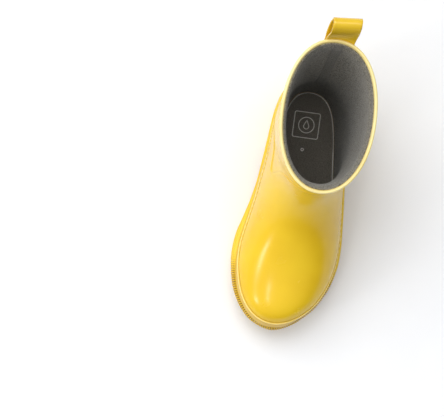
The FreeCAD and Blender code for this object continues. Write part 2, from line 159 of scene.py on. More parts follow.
def through(points, per_span, closed=False):
    """Smooth line through the points, with per_span steps between neighbours."""
    p = np.array(points, float)
    if closed:
        p = np.vstack([p[-1:], p, p[:2]])
    else:
        p = np.vstack([2.0 * p[0] - p[1], p, 2.0 * p[-1] - p[-2]])
    t = np.arange(per_span)[:, None] / per_span
    spans = []
    for a, b, c, d in zip(p[:-3], p[1:-2], p[2:-1], p[3:]):
        spans.append(
            0.5 * (2.0 * b + (c - a) * t + (2.0 * a - 5.0 * b + 4.0 * c - d) * t**2
                   + (3.0 * b - a - 3.0 * c + d) * t**3)
        )
    if not closed:
        spans.append(p[-2:-1])
    return np.vstack(spans)


def section_poles(station):
    """Control points of one station, from its sole or back end round the lateral side and back."""
    f0, z0, f1, z1, medial, lateral, widest, square_low, square_high = station
    swell = 3.0 / (2.0 + math.cos(2.0 * math.pi / POLES_AROUND))
    middle = (medial + lateral) / 2.0
    low = np.array([middle, -f0, z0])
    along = np.array([middle, -f1, z1]) - low
    poles = []
    for i in range(POLES_AROUND):
        angle = 2.0 * math.pi * i / POLES_AROUND
        c, s = math.cos(angle), math.sin(angle)
        square = square_low if c > 0.0 else square_high
        half = widest if c > 0.0 else 1.0 - widest
        t = widest - math.copysign(half * abs(c) ** (2.0 / square) * swell, c)
        x = math.copysign(abs(s) ** (2.0 / square) * swell, s) * (lateral - medial) / 2.0
        poles.append(low + along * t + np.array([x, 0.0, 0.0]))
    return poles


NET = np.array([section_poles(station) for station in STATIONS])
U_END = len(STATIONS) - 3.0


def clamped_weights(u):
    """Share of each station in the skin at the places u along the boot."""
    count = len(STATIONS)
    knots = [0.0] * 3 + [float(k) for k in range(count - 2)] + [U_END] * 3
    u = np.clip(u, 0.0, U_END - 1e-9)
    level = [((low <= u) & (u < high)).astype(float) for low, high in zip(knots, knots[1:])]
    for degree in (1, 2, 3):
        rising = []
        for i in range(len(level) - 1):
            up = knots[i + degree] - knots[i]
            down = knots[i + degree + 1] - knots[i + 1]
            total = 0.0
            if up > 0.0:
                total = total + (u - knots[i]) / up * level[i]
            if down > 0.0:
                total = total + (knots[i + degree + 1] - u) / down * level[i + 1]
            rising.append(total if np.ndim(total) else np.zeros_like(u))
        level = rising
    return np.stack(level, 1)


def ring_weights(v):
    """Share of each pole around a section at the places v round it."""
    base = np.floor(v).astype(int)
    t = v - base
    shares = [
        (1 - t) ** 3 / 6,
        (3 * t**3 - 6 * t * t + 4) / 6,
        (-3 * t**3 + 3 * t * t + 3 * t + 1) / 6,
        t**3 / 6,
    ]
    weights = np.zeros((len(v), POLES_AROUND))
    for step, share in enumerate(shares):
        weights[np.arange(len(v)), (base - 1 + step) % POLES_AROUND] += share
    return weights


def on_skin(u, v):
    """Points of the skin at matching lists of u and v."""
    return np.einsum("nu,nv,uvk->nk", clamped_weights(u), ring_weights(v), NET, optimize=True)


def skin_normals(u, v):
    """Outward unit normals of the skin at matching lists of u and v."""
    step = 0.01
    along = on_skin(np.minimum(u + step, U_END), v) - on_skin(np.maximum(u - step, 0.0), v)
    around = on_skin(u, v + step) - on_skin(u, v - step)
    normal = np.cross(along, around)
    return normal / np.linalg.norm(normal, axis=1, keepdims=True)


def ramp(x, low, high):
    """Smooth 0 to 1 as x goes from low to high."""
    t = np.clip((x - low) / (high - low), 0.0, 1.0)
    return t * t * (3.0 - 2.0 * t)


def bump(x, middle, width):
    """Rounded rise of height 1 at middle, about twice width across."""
    return np.exp(-(((x - middle) / width) ** 2))


WELT = through(WELT_LINE, 12)
JOIN = np.array(LINING_JOIN)


def above_welt(forward, up):
    """Height over the welt line."""
    return up - np.interp(forward, WELT[:, 0], WELT[:, 1])


def distance_below_seam(forward, up):
    """Distance to the V seam in the side view, positive on the foot's side of it."""
    line = through(SEAM, 14)
    tangent = np.gradient(line, axis=0)
    found = np.empty(len(forward))
    for start in range(0, len(forward), 4000):
        part = slice(start, start + 4000)
        gap = np.stack([forward[part], up[part]], 1)[:, None, :] - line[None]
        nearest = (gap**2).sum(2).argmin(1)
        rows = np.arange(len(nearest))
        near, way = gap[rows, nearest], tangent[nearest]
        side = np.sign(way[:, 1] * near[:, 0] - way[:, 0] * near[:, 1])
        found[part] = side * np.linalg.norm(near, axis=1)
    return found


RIM_LOW = np.array([0.0, -STATIONS[-1][0], STATIONS[-1][1]])
RIM_ALONG = np.array([0.0, STATIONS[-1][0] - STATIONS[-1][2], STATIONS[-1][3] - STATIONS[-1][1]])
RIM_ALONG = RIM_ALONG / np.linalg.norm(RIM_ALONG)
RIM_UP = np.cross(RIM_ALONG, [1.0, 0.0, 0.0])


# Columns of a skin sample: point, normal, u, v, and the distances in millimetres that the pieces are cut by.
# FROM_MIDDLE is the distance from the middle plane at the back of the boot, and far off everywhere else.
POINT, NORMAL, PLACE = slice(0, 3), slice(3, 6), slice(6, 8)
OVER_WELT, BELOW_SEAM, FROM_MIDDLE, UNDER_RIM, OVER_JOIN = 8, 9, 10, 11, 12
BACK_END = 35.0
FAR_OFF = 100.0


def sample(u, v):
    """Rows of everything that is known about the skin at matching lists of u and v."""
    point = on_skin(u, v)
    x, forward, up = point[:, 0], -point[:, 1], point[:, 2]
    return np.column_stack([
        point,
        skin_normals(u, v),
        u,
        v,
        above_welt(forward, up),
        distance_below_seam(forward, up),
        np.abs(x) + np.where(forward < BACK_END, 0.0, FAR_OFF),
        (RIM_LOW - point) @ RIM_UP,
        up - np.interp(forward, JOIN[:, 0], JOIN[:, 1]),
    ])


# ---------------------------------------------------------------------------------------------------------
# Meshes


def new_piece(name, points, faces, material, body="boot", nodes=(), uv=None, sharp=50.0):
    """Object from drawing points in millimetres, smooth but for corners sharper than sharp degrees."""
    mesh = bpy.data.meshes.new(name)
    places = np.asarray(points) * MM + ORIGIN
    mesh.from_pydata(places.tolist(), [], [[int(i) for i in face] for face in faces])
    if uv is not None:
        corners = np.empty(len(mesh.loops), int)
        mesh.loops.foreach_get("vertex_index", corners)
        layer = mesh.uv_layers.new(name="UVMap")
        layer.data.foreach_set("uv", np.asarray(uv, np.float32)[corners].ravel())
    mesh.polygons.foreach_set("use_smooth", [True] * len(mesh.polygons))
    mesh.set_sharp_from_angle(angle=math.radians(sharp))
    mesh.update()
    piece = bpy.data.objects.new(name, mesh)
    bpy.context.scene.collection.objects.link(piece)
    mesh.materials.append(material)
    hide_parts(*nodes)
    if body:
        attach(piece, body)
    return piece


def grid_faces(rows, columns, wrap_rows=False, wrap_columns=False):
    """Quads of a grid whose points are listed row by row, facing along rows x columns."""
    i = np.arange(rows if wrap_rows else rows - 1)[:, None]
    j = np.arange(columns if wrap_columns else columns - 1)[None, :]
    i_next, j_next = (i + 1) % rows, (j + 1) % columns
    corners = [i * columns + j, i_next * columns + j, i_next * columns + j_next, i * columns + j_next]
    return np.stack([c.ravel() for c in np.broadcast_arrays(*corners)], 1)


def clip(rows, faces, keep):
    """Cuts faces along the line where keep is zero and drops the side where it is negative."""
    side = (keep > 0.0).tolist()
    made, added, kept = {}, [], []

    def crossing(a, b):
        key = (a, b) if a < b else (b, a)
        if key not in made:
            share = keep[a] / (keep[a] - keep[b])
            made[key] = len(rows) + len(added)
            added.append(rows[a] + (rows[b] - rows[a]) * share)
        return made[key]

    for face in faces:
        count = sum(side[i] for i in face)
        if count == len(face):
            kept.append(face)
        elif count:
            corners = []
            for a, b in zip(face, list(face[1:]) + [face[0]]):
                if side[a]:
                    corners.append(a)
                if side[a] != side[b]:
                    corners.append(crossing(a, b))
            kept.append(corners)
    return np.vstack([rows] + added), kept


def cut_skin(limits):
    """The part of the sampled skin inside limits, each (column, low, high)."""
    rows, faces = SKIN_ROWS, SKIN_FACES
    for column, low, high in limits:
        if low is not None:
            rows, faces = clip(rows, faces, rows[:, column] - low)
        if high is not None:
            rows, faces = clip(rows, faces, high - rows[:, column])
    used = np.unique(np.concatenate([np.asarray(face) for face in faces]))
    place = np.full(len(rows), -1)
    place[used] = np.arange(len(used))
    return rows[used], [[int(place[i]) for i in face] for face in faces]


def thicken(outer, inner, faces):
    """Closed shell between two copies of a sheet, outer facing along its faces."""
    count = len(outer)
    edges = {(a, b) for face in faces for a, b in zip(face, list(face[1:]) + [face[0]])}
    walls = [(b, a, a + count, b + count) for a, b in edges if (b, a) not in edges]
    back = [[i + count for i in reversed(face)] for face in faces]
    return np.vstack([outer, inner]), list(faces) + back + sorted(walls)


def skin_shell(name, limits, lift, depth, material, nodes, measure=None):
    """Sheet on the skin: lift and depth give its outer and inner face over the skin, from its rows.
    measure gives two distances in millimetres that its material reads as a flat layout."""
    rows, faces = cut_skin(limits)
    outer = rows[:, POINT] + rows[:, NORMAL] * lift(rows)[:, None]
    inner = rows[:, POINT] + rows[:, NORMAL] * depth(rows)[:, None]
    points, faces = thicken(outer, inner, faces)
    uv = None if measure is None else np.tile(measure(rows), (2, 1))
    return new_piece(name, points, faces, material, nodes=nodes, uv=uv)


# ---------------------------------------------------------------------------------------------------------
# Materials


class Material:
    """Node material with short calls for the nodes that the boot uses."""

    def __init__(self, name, roughness, metallic=0.0, **sockets):
        self.material = bpy.data.materials.new(name)
        self.material.use_nodes = True
        self.tree = self.material.node_tree
        self.shader = self.tree.nodes["Principled BSDF"]
        self.shader.inputs["Roughness"].default_value = roughness
        self.shader.inputs["Metallic"].default_value = metallic
        for socket, value in sockets.items():
            self.shader.inputs[socket.replace("_", " ")].default_value = value
        coordinates = self.tree.nodes.new("ShaderNodeTexCoord")
        self.place = coordinates.outputs["Object"]
        self.uv = coordinates.outputs["UV"]

    def node(self, kind, inputs=None, **settings):
        made = self.tree.nodes.new(kind)
        for key, value in settings.items():
            setattr(made, key, value)
        for key, value in (inputs or {}).items():
            if isinstance(value, bpy.types.NodeSocket):
                self.tree.links.new(value, made.inputs[key])
            else:
                made.inputs[key].default_value = value
        return made

    def noise(self, size, detail=3.0, stretch=None):
        """Noise with features of this size in millimetres."""
        place = self.place
        if stretch:
            place = self.node("ShaderNodeMapping", {"Vector": place, "Scale": stretch}).outputs[0]
        inputs = {"Vector": place, "Scale": 1.0 / (size * MM), "Detail": detail}
        return self.node("ShaderNodeTexNoise", inputs).outputs["Fac"]

    def measure(self, reach):
        """First part of the flat layout as 0 to 1 over reach, in millimetres."""
        part = self.node("ShaderNodeSeparateXYZ", {"Vector": self.uv}).outputs["X"]
        return self.node("ShaderNodeMath", {0: part, 1: 1.0 / (reach * MM)}, operation="MULTIPLY").outputs[0]

    def limit(self, value, start, end):
        """0 to 1 as value goes from start to end, and no further."""
        inputs = {"Value": value, "From Min": start, "From Max": end}
        return self.node("ShaderNodeMapRange", inputs).outputs[0]

    def span(self, value, low, high):
        """Value from 0 to 1 stretched to low to high."""
        return self.node("ShaderNodeMapRange", {"Value": value, "To Min": low, "To Max": high}).outputs[0]

    def pick(self, value, *stops, interpolation="LINEAR"):
        """Colour along a ramp of (place, linear colour)."""
        made = self.node("ShaderNodeValToRGB", {"Fac": value})
        made.color_ramp.interpolation = interpolation
        elements = made.color_ramp.elements
        while len(elements) < len(stops):
            elements.new(0.5)
        for element, (place, colour) in zip(elements, stops):
            element.position = place
            element.color = (*colour, 1.0)
        return made.outputs["Color"]

    def curve(self, value, stops):
        """Smooth height along (place, height) stops."""
        return self.pick(value, *[(place, (height,) * 3) for place, height in stops], interpolation="EASE")

    def mix(self, share, a, b):
        """Linear colour a going over to b by share."""
        made = self.node("ShaderNodeMix", {0: share}, data_type="RGBA")
        for place, value in ((6, a), (7, b)):
            if isinstance(value, bpy.types.NodeSocket):
                self.tree.links.new(value, made.inputs[place])
            else:
                made.inputs[place].default_value = (*value, 1.0)
        return made.outputs[2]

    def finish(self, colour, roughness=None, heights=()):
        """Joins colour, roughness and (height, depth in millimetres) bumps to the shader."""
        self.tree.links.new(colour, self.shader.inputs["Base Color"])
        if roughness is not None:
            self.tree.links.new(roughness, self.shader.inputs["Roughness"])
        normal = None
        for height, depth in heights:
            inputs = {"Height": height, "Distance": depth * MM, "Strength": 1.0}
            if normal is not None:
                inputs["Normal"] = normal
            normal = self.node("ShaderNodeBump", inputs).outputs["Normal"]
        if normal is not None:
            self.tree.links.new(normal, self.shader.inputs["Normal"])
        return self.material


def linear(*screen):
    """Linear colour from red, green and blue screen values of 0 to 255."""
    shares = [value / 255 for value in screen]
    return tuple(v / 12.92 if v <= 0.04045 else ((v + 0.055) / 1.055) ** 2.4 for v in shares)


EDGE_SPAN = 8.0
EDGE_DEPTH = 0.9
# Colours of the painted highlight and the painted shade along a sheet's edge.
EDGE_PAINTED_HIGHLIGHT = linear(252, 228, 142)
EDGE_PAINTED_SHADE = linear(176, 122, 30)


def rubber(name, light, dark, roughness, coat=0.12, edge=None, ribs=None):
    """Glossy vulcanised rubber: faint cloudy colour, soft unevenness and fine grain.

    edge lists (distance from the sheet's edge in millimetres, height from 0 to 1, tone from 0 dark to 1 pale)
    up to EDGE_SPAN, the tone being painted shade where dark and a painted highlight where pale, and ribs is the
    colour painted into the gaps of a moulded rib as shade.
    """
    made = Material(name, roughness, Coat_Weight=coat, Coat_Roughness=0.14, Specular_IOR_Level=0.36)
    cloud = made.noise(38.0, 2.0)
    speck = made.noise(1.6, 2.0)
    colour = made.pick(cloud, (0.30, linear(*dark)), (0.70, linear(*light)))
    colour = made.mix(made.span(speck, 0.0, 0.06), colour, linear(*dark))
    heights = [(made.noise(24.0, 1.0), 0.12), (made.noise(0.9, 2.0), 0.006)]
    # Along the edge, the tone paints a highlight and shade into the colour beside the real bump.
    if edge:
        distance = made.measure(EDGE_SPAN)
        heights.append((made.curve(distance, [(d / EDGE_SPAN, height) for d, height, _ in edge]), EDGE_DEPTH))
        tone = made.curve(distance, [(d / EDGE_SPAN, shade) for d, _, shade in edge])
        pale = made.mix(made.limit(tone, 0.5, 1.0), colour, EDGE_PAINTED_HIGHLIGHT)
        colour = made.mix(made.limit(tone, 0.5, 0.0), pale, EDGE_PAINTED_SHADE)
    # Painted shade: the gaps between moulded ribs are darkened towards the ribs colour.
    if ribs:
        colour = made.mix(made.measure(1.0), colour, linear(*ribs))
    shine = made.span(made.noise(14.0, 3.0), roughness - 0.05, roughness + 0.06)
    return made.finish(colour, shine, heights)


def knit(name, light, dark, pitch):
    """Knitted lining: heather of two yarns, rows of small loops, matte with a soft sheen."""
    made = Material(name, 0.92, Sheen_Weight=0.25)
    heather = made.noise(pitch * 1.3, 3.0)
    cloud = made.noise(22.0, 2.0)
    colour = made.pick(heather, (0.36, linear(*dark)), (0.62, linear(*light)))
    colour = made.mix(made.span(cloud, 0.0, 0.25), colour, linear(*dark))
    loops = made.node("ShaderNodeTexVoronoi", {"Vector": made.place, "Scale": 1.0 / (pitch * MM)})
    heights = [(loops.outputs["Distance"], 0.35), (made.noise(0.35, 2.0), 0.10)]
    return made.finish(colour, None, heights)


def plain(name, light, dark, size, roughness, depth, metallic=0.0, stretch=None):
    """Mottled board, foam, print or metal: two tones at one grain size, with its own bump."""
    made = Material(name, roughness, metallic)
    grain = made.noise(size, 4.0, stretch)
    colour = made.pick(grain, (0.35, linear(*dark)), (0.65, linear(*light)))
    return made.finish(colour, made.span(grain, roughness - 0.08, roughness + 0.08), [(grain, depth)])


# The foxing's fine ridge with its painted highlight, and the painted shade beside and under it, as (distance
# from the top edge, height, tone).
FOXING_EDGE_BUMP_AND_PAINTED_LIGHT = [
    (0.0, 0.15, 0.2), (0.35, 0.55, 0.62), (0.7, 0.85, 1.0), (1.2, 0.8, 0.9), (1.7, 0.25, 0.25), (2.4, 0.3, 0.46),
    (4.5, 0.3, 0.42), (EDGE_SPAN, 0.3, 0.42),
]
yellow_rubber = rubber("yellow_rubber", (234, 195, 32), (225, 181, 24), 0.25)
# The foxing's top edge carries a painted highlight and painted shade.
foxing_rubber_painted_edge_light = rubber("foxing_rubber_painted_edge_light", (230, 190, 34), (221, 178, 27), 0.34, 0.1, edge=FOXING_EDGE_BUMP_AND_PAINTED_LIGHT)
sole_rubber = rubber("sole_rubber", (230, 190, 40), (220, 176, 32), 0.40, 0.1)
# The dark colour given here is painted into the rib gaps as shade.
rib_rubber_painted_gap_shade = rubber("rib_rubber_painted_gap_shade", (236, 200, 44), (228, 188, 34), 0.36, 0.1, ribs=(132, 88, 16))
strap_rubber = rubber("strap_rubber", (226, 190, 40), (216, 174, 30), 0.20, 0.3)
# Pale cream colour that paints a highlight onto the rounded rim lip.
rim_painted_highlight_rubber = rubber("rim_painted_highlight_rubber", (238, 222, 158), (232, 210, 132), 0.34)
lining_knit = knit("lining_knit", (146, 139, 120), (74, 68, 58), 0.75)
lining_tape = knit("lining_tape", (120, 114, 98), (78, 73, 62), 0.5)
footbed_fabric = knit("footbed_fabric", (128, 122, 110), (108, 102, 92), 0.6)
footbed_foam = plain("footbed_foam", (238, 235, 226), (214, 210, 200), 0.8, 0.85, 0.2)
label_print = plain("label_print", (236, 232, 222), (218, 214, 204), 0.6, 0.7, 0.03)
board = plain("board", (188, 168, 134), (160, 140, 108), 1.8, 0.9, 0.1)
sponge = plain("sponge", (66, 66, 66), (38, 38, 38), 1.2, 0.95, 0.3)
stiffener = plain("stiffener", (226, 220, 204), (204, 197, 180), 2.4, 0.75, 0.08)
shank_steel = plain("shank_steel", (190, 192, 196), (150, 152, 156), 0.5, 0.35, 0.02, 1.0, (1.0, 0.05, 1.0))


# ---------------------------------------------------------------------------------------------------------
# Upper: rubber sheets on the skin. Each lift is the outer face over the skin, and edges roll off softly.

SKIN_STEPS_ALONG = 380
SKIN_STEPS_AROUND = 320
SHEET_BACK = -1.0
LEG_FACE = -0.55
LEG_UNDER_OVERLAY = -1.1
SEAM_RIDGE = 0.18
FOXING_STEP = 0.5
STAY_STEP = 0.6
BINDING_FACE = 0.15
LEG_RIDGE = 0.16
BINDING_CREASE = 0.2
OVERLAY_EDGE = 0.8
OVERLAY_UNDER_FOXING = 0.5
FOXING_RIDGE = 0.4

skin_u, skin_v = np.meshgrid(
    np.linspace(0.0, U_END, SKIN_STEPS_ALONG),
    np.arange(SKIN_STEPS_AROUND) * POLES_AROUND / SKIN_STEPS_AROUND,
    indexing="ij",
)
SKIN_ROWS = sample(skin_u.ravel(), skin_v.ravel())
SKIN_FACES = grid_faces(SKIN_STEPS_ALONG, SKIN_STEPS_AROUND, wrap_columns=True).tolist()


def leg_lift(rows):
    """Leg rubber: it dips under the foot's overlay, with a fine ridge and a crease under the binding."""
    under = ramp(rows[:, BELOW_SEAM], 0.4, 1.8)
    lift = LEG_FACE + (LEG_UNDER_OVERLAY - LEG_FACE) * under
    lift = lift + LEG_RIDGE * bump(rows[:, UNDER_RIM], BINDING_HEIGHT + 2.6, 0.7)
    return lift - BINDING_CREASE * bump(rows[:, UNDER_RIM], BINDING_HEIGHT + 0.2, 0.8)


def overlay_lift(rows):
    """Foot rubber, ending in a low ridge along the V seam."""
    seam = rows[:, BELOW_SEAM]
    lift = SEAM_RIDGE * bump(seam, 1.7, 1.2) - OVERLAY_EDGE * (1.0 - ramp(seam, -0.2, 1.3))
    under = 1.0 - ramp(rows[:, OVER_WELT], FOXING_HEIGHT - 0.4, FOXING_HEIGHT + 0.9)
    return lift - OVERLAY_UNDER_FOXING * under


def foxing_lift(rows):
    """Foxing strip with a fine ridge near its top edge."""
    below_top = FOXING_HEIGHT - rows[:, OVER_WELT]
    lift = -0.4 + (FOXING_STEP + 0.25) * ramp(below_top, -0.1, 0.7)
    return lift + FOXING_RIDGE * bump(below_top, 0.9, 0.55)


def below_foxing_edge(rows):
    """Flat layout of the foxing: distance from its top edge, which places the ridge with its painted highlight
    and shade, and place along the boot.
    """
    distance = np.clip(FOXING_HEIGHT - rows[:, OVER_WELT], 0.0, EDGE_SPAN) * MM
    return np.column_stack([distance, rows[:, PLACE][:, 0] * MM])


def stay_lift(rows):
    """Strip over the back seam, lying on the leg's rubber and then on the foot's."""
    on_overlay = ramp(rows[:, BELOW_SEAM], -1.0, 1.0)
    ground = LEG_FACE * (1.0 - on_overlay)
    edge = ramp(STAY_WIDTH / 2.0 - rows[:, FROM_MIDDLE], 0.0, 1.4)
    return ground - 0.2 + (STAY_STEP + 0.2) * edge


def level(value):
    """The same height over the skin everywhere."""
    return lambda rows: np.full(len(rows), value)


skin_shell(
    "leg_rubber",
    [(BELOW_SEAM, None, 1.6), (UNDER_RIM, BINDING_HEIGHT - 1.5, None), (OVER_WELT, 6.0, None)],
    leg_lift, level(-LINING_DEPTH), yellow_rubber, ["leg_shaft"],
)
skin_shell(
    "foot_overlay_rubber",
    [(BELOW_SEAM, 0.0, None), (OVER_WELT, FOXING_HEIGHT - 3.0, None)],
    overlay_lift, level(SHEET_BACK), yellow_rubber, ["foot_overlay"],
)
skin_shell(
    "foxing_rubber_painted_edge_light",
    [(OVER_WELT, -4.0, FOXING_HEIGHT)],
    foxing_lift, level(SHEET_BACK), foxing_rubber_painted_edge_light, ["foxing_strip"], below_foxing_edge,
)
skin_shell(
    "back_stay_rubber",
    [(FROM_MIDDLE, None, STAY_WIDTH / 2.0), (OVER_WELT, FOXING_HEIGHT - 1.0, None),
     (UNDER_RIM, BINDING_HEIGHT - 1.5, None)],
    stay_lift, level(SHEET_BACK), yellow_rubber, ["back_stay"],
)


RIM_REACH = 4.0
RIM_STEPS = 160


def rim_ring(profile, around):
    """Points of a closed ring on the mouth: profile is (lift over the skin, height over the rim)."""
    v = np.arange(around) * POLES_AROUND / around
    u_fine = np.linspace(U_END - RIM_REACH, U_END, RIM_STEPS)
    grid_u, grid_v = np.meshgrid(u_fine, v, indexing="ij")
    under = ((RIM_LOW - on_skin(grid_u.ravel(), grid_v.ravel())) @ RIM_UP).reshape(grid_u.shape)
    rows = []
    for lift, height in profile:
        if height < 0.0:
            u = np.array([np.interp(height, -under[:, j], u_fine) for j in range(around)])
            rows.append(on_skin(u, v) + skin_normals(u, v) * lift)
        else:
            u = np.full(around, U_END)
            normal = skin_normals(u, v)
            normal = normal - np.outer(normal @ RIM_UP, RIM_UP)
            normal = normal / np.linalg.norm(normal, axis=1, keepdims=True)
            rows.append(on_skin(u, v) + normal * lift + RIM_UP * height)
    return np.vstack(rows)


def arc(centre, radius, start, end, steps):
    """Points on an arc, angles in degrees."""
    angles = np.radians(np.linspace(start, end, steps))
    return [(centre[0] + radius * math.cos(a), centre[1] + radius * math.sin(a)) for a in angles]


LIP_RADIUS = 1.15
lip = arc((BINDING_FACE - LIP_RADIUS + 0.1, 0.15), LIP_RADIUS, 0.0, 180.0, 13)
binding_profile = [
    (-0.9, -BINDING_HEIGHT - 0.1), (-0.45, -BINDING_HEIGHT), (-0.1, -BINDING_HEIGHT + 0.3),
    (BINDING_FACE - 0.05, -BINDING_HEIGHT + 0.8), (BINDING_FACE, -BINDING_HEIGHT + 1.6), (BINDING_FACE, -6.0),
    (BINDING_FACE - 0.02, -4.2), (BINDING_FACE - 0.02, -2.6), (BINDING_FACE + 0.02, -0.9),
    (BINDING_FACE - 0.5, -0.2), (-2.2, -0.2), (-2.4, -3.0), (-1.6, -3.4), (-1.3, -6.0),
    (-1.2, -BINDING_HEIGHT + 0.5),
]
lip_profile = [(BINDING_FACE + 0.02, -0.7)] + lip + [(-2.5, -0.9), (-1.2, -0.9)]
# The lip ring is pale cream: a painted highlight along the rounded top of the mouth.
for name, profile, material in (
    ("top_binding_rubber", binding_profile, yellow_rubber),
    ("rim_lip_painted_highlight", lip_profile, rim_painted_highlight_rubber),
):
    faces = grid_faces(len(profile), SKIN_STEPS_AROUND, wrap_rows=True, wrap_columns=True)
    points = rim_ring(profile, SKIN_STEPS_AROUND)
    new_piece(name, points, faces, material, nodes=["top_binding"])


# ---------------------------------------------------------------------------------------------------------
# Lining and seam tape


def leg_lining_face(rows):
    """Visible side of the leg's lining: it laps the foot's lining below and comes out to the rim above."""
    near_rim = 1.0 - ramp(rows[:, UNDER_RIM], 0.8, 8.0)
    over_join = ramp(rows[:, OVER_JOIN], -1.0, 0.4)
    return -INNER_DEPTH - 0.35 * over_join + 1.5 * near_rim


foot_lining_face = level(-INNER_DEPTH)
LINING_SHEET = 1.1


def behind(face, thickness):
    """Outer side of a sheet whose visible face is given."""
    return lambda rows: face(rows) + thickness


lining_leg = skin_shell(
    "leg_lining_knit",
    [(OVER_JOIN, -1.0, None), (UNDER_RIM, 0.5, None)],
    behind(leg_lining_face, LINING_SHEET), leg_lining_face, lining_knit, ["leg_lining"],
)
lining_foot = skin_shell(
    "foot_lining_knit",
    [(OVER_JOIN, None, 1.5), (OVER_WELT, -BOARD_DEPTH, None)],
    behind(foot_lining_face, LINING_SHEET), foot_lining_face, lining_knit, ["foot_lining"],
)


def tape_face(rows):
    """Tape over the back seam, with thin edges."""
    edge = ramp(TAPE_WIDTH / 2.0 - rows[:, FROM_MIDDLE], 0.0, 0.7)
    return leg_lining_face(rows) - 0.5 * edge


seam_tape = skin_shell(
    "lining_seam_tape_woven",
    [(FROM_MIDDLE, None, TAPE_WIDTH / 2.0), (OVER_WELT, 46.0, None), (UNDER_RIM, 0.3, None)],
    behind(leg_lining_face, 0.2), tape_face, lining_tape, ["lining_seam_tape"],
)


# ---------------------------------------------------------------------------------------------------------
# Footbed: foam with a visible cut edge, a fabric cover and its print


def level_outline(depth, rise):
    """Where the skin at this depth meets the height rise over the welt: back end, front end, and for the medial
    and the lateral side its (forward, x)."""
    rows = SKIN_ROWS.copy()
    rows[:, POINT] = rows[:, POINT] - rows[:, NORMAL] * depth
    height = above_welt(-rows[:, 1], rows[:, 2]) - rise
    all_rows, _ = clip(rows, SKIN_FACES, height)
    found = all_rows[len(rows):]
    forward, x = -found[:, 1], found[:, 0]
    middle = np.interp(forward, [p[0] for p in PLAN], [(p[1] + p[2]) / 2.0 for p in PLAN])
    sides = []
    for side in (x < middle, x >= middle):
        order = np.argsort(forward[side])
        sides.append((forward[side][order], x[side][order]))
    return forward.min(), forward.max(), sides


# Edge of a footbed layer: (share of its height, how far it is rounded in).
FOOTBED_EDGE = [(0.0, 0.25), (0.15, 0.0), (0.85, 0.0), (1.0, 0.25)]


def footbed_layer(low, high, inset, depth, lengthwise=150, across=44):
    """Points of a slab between two heights over the welt, inside the lining by inset, with rounded edges."""
    heel, toe, sides = level_outline(depth, (low + high) / 2.0)
    middle, half = (heel + toe) / 2.0, (toe - heel) / 2.0
    angles = np.linspace(0.0, math.pi, lengthwise)
    forward = middle - half * np.cos(angles)
    edges = [np.interp(forward, *side) for side in sides]
    shrink = (half - inset) / half
    half_width = (edges[1] - edges[0]) / 2.0
    centre = (edges[1] + edges[0]) / 2.0
    half_width = np.maximum(half_width - inset, 0.0)
    forward = middle + (forward - middle) * shrink
    t = np.sin(np.linspace(-math.pi / 2.0, math.pi / 2.0, across))
    rows = []
    for share, rounding in FOOTBED_EDGE:
        x = centre[:, None] + np.maximum(half_width - rounding, 0.0)[:, None] * t[None]
        f = middle + (forward - middle) * (1.0 - rounding / half)
        f = np.repeat(f[:, None], across, 1)
        z = np.interp(f, WELT[:, 0], WELT[:, 1]) + low + (high - low) * share
        rows.append(np.stack([x, -f, z], 2))
    return rows, lengthwise, across


def slab_from_layers(layers, lengthwise, across):
    """Closed mesh from the top layer, the bottom layer and the outlines between them."""
    outline = (
        [(i, 0) for i in range(lengthwise)]
        + [(lengthwise - 1, j) for j in range(1, across)]
        + [(i, across - 1) for i in range(lengthwise - 2, -1, -1)]
        + [(0, j) for j in range(across - 2, 0, -1)]
    )
    flat = grid_faces(lengthwise, across)
    top = layers[-1].reshape(-1, 3)
    bottom = layers[0].reshape(-1, 3)
    points = [top, bottom]
    faces = [tuple(face) for face in flat]
    faces += [tuple(i + len(top) for i in reversed(face)) for face in flat]
    ring_top = [i * across + j for i, j in outline]
    rings = [[index + len(top) for index in ring_top]]
    count = 2 * len(top)
    for layer in layers[1:-1]:
        points.append(np.array([layer[i, j] for i, j in outline]))
        rings.append(list(range(count, count + len(outline))))
        count += len(outline)
    rings.append(ring_top)
    for low, high in zip(rings[:-1], rings[1:]):
        for k in range(len(outline)):
            after = (k + 1) % len(outline)
            faces.append((low[k], high[k], high[after], low[after]))
    return np.vstack(points), faces


def footbed_slab(name, low, high, inset, material, nodes):
    layers, lengthwise, across = footbed_layer(low, high, inset, INNER_DEPTH + FOOTBED_GAP)
    points, faces = slab_from_layers(layers, lengthwise, across)
    return new_piece(name, points, faces, material, body="footbed", nodes=nodes, sharp=60.0)


FOAM_LOW = -BOARD_DEPTH
COVER_LOW = FOAM_LOW + FOAM
COVER_TOP = COVER_LOW + COVER
COVER_INSET = 1.1
FOAM_PROUD = 0.35
COVER_LAP = 0.2
foam = footbed_slab(
    "footbed_foam_pad", FOAM_LOW, COVER_LOW + FOAM_PROUD, 0.0, footbed_foam, ["footbed_foam"]
)
footbed_slab(
    "footbed_cover_knit", COVER_LOW + COVER_LAP, COVER_TOP, COVER_INSET, footbed_fabric,
    ["footbed_cover"],
)

# The print's sizes, with LABEL_X and LABEL_FORWARD the middle of its frame.
LABEL_X = 0.4
PRINT_HEIGHT = 0.12
PRINT_LINE = 0.6
FRAME_HALF = 9.2
FRAME_CORNER = 1.2
FRAME_STEP = 1.5
RING_RADIUS = 5.6
DROP_RADIUS = 1.9
DROP_AHEAD = 0.9
DROP_TIP = 3.6
MARK_PLACE = (-0.2, 48.5)
MARK_RADIUS = 0.9


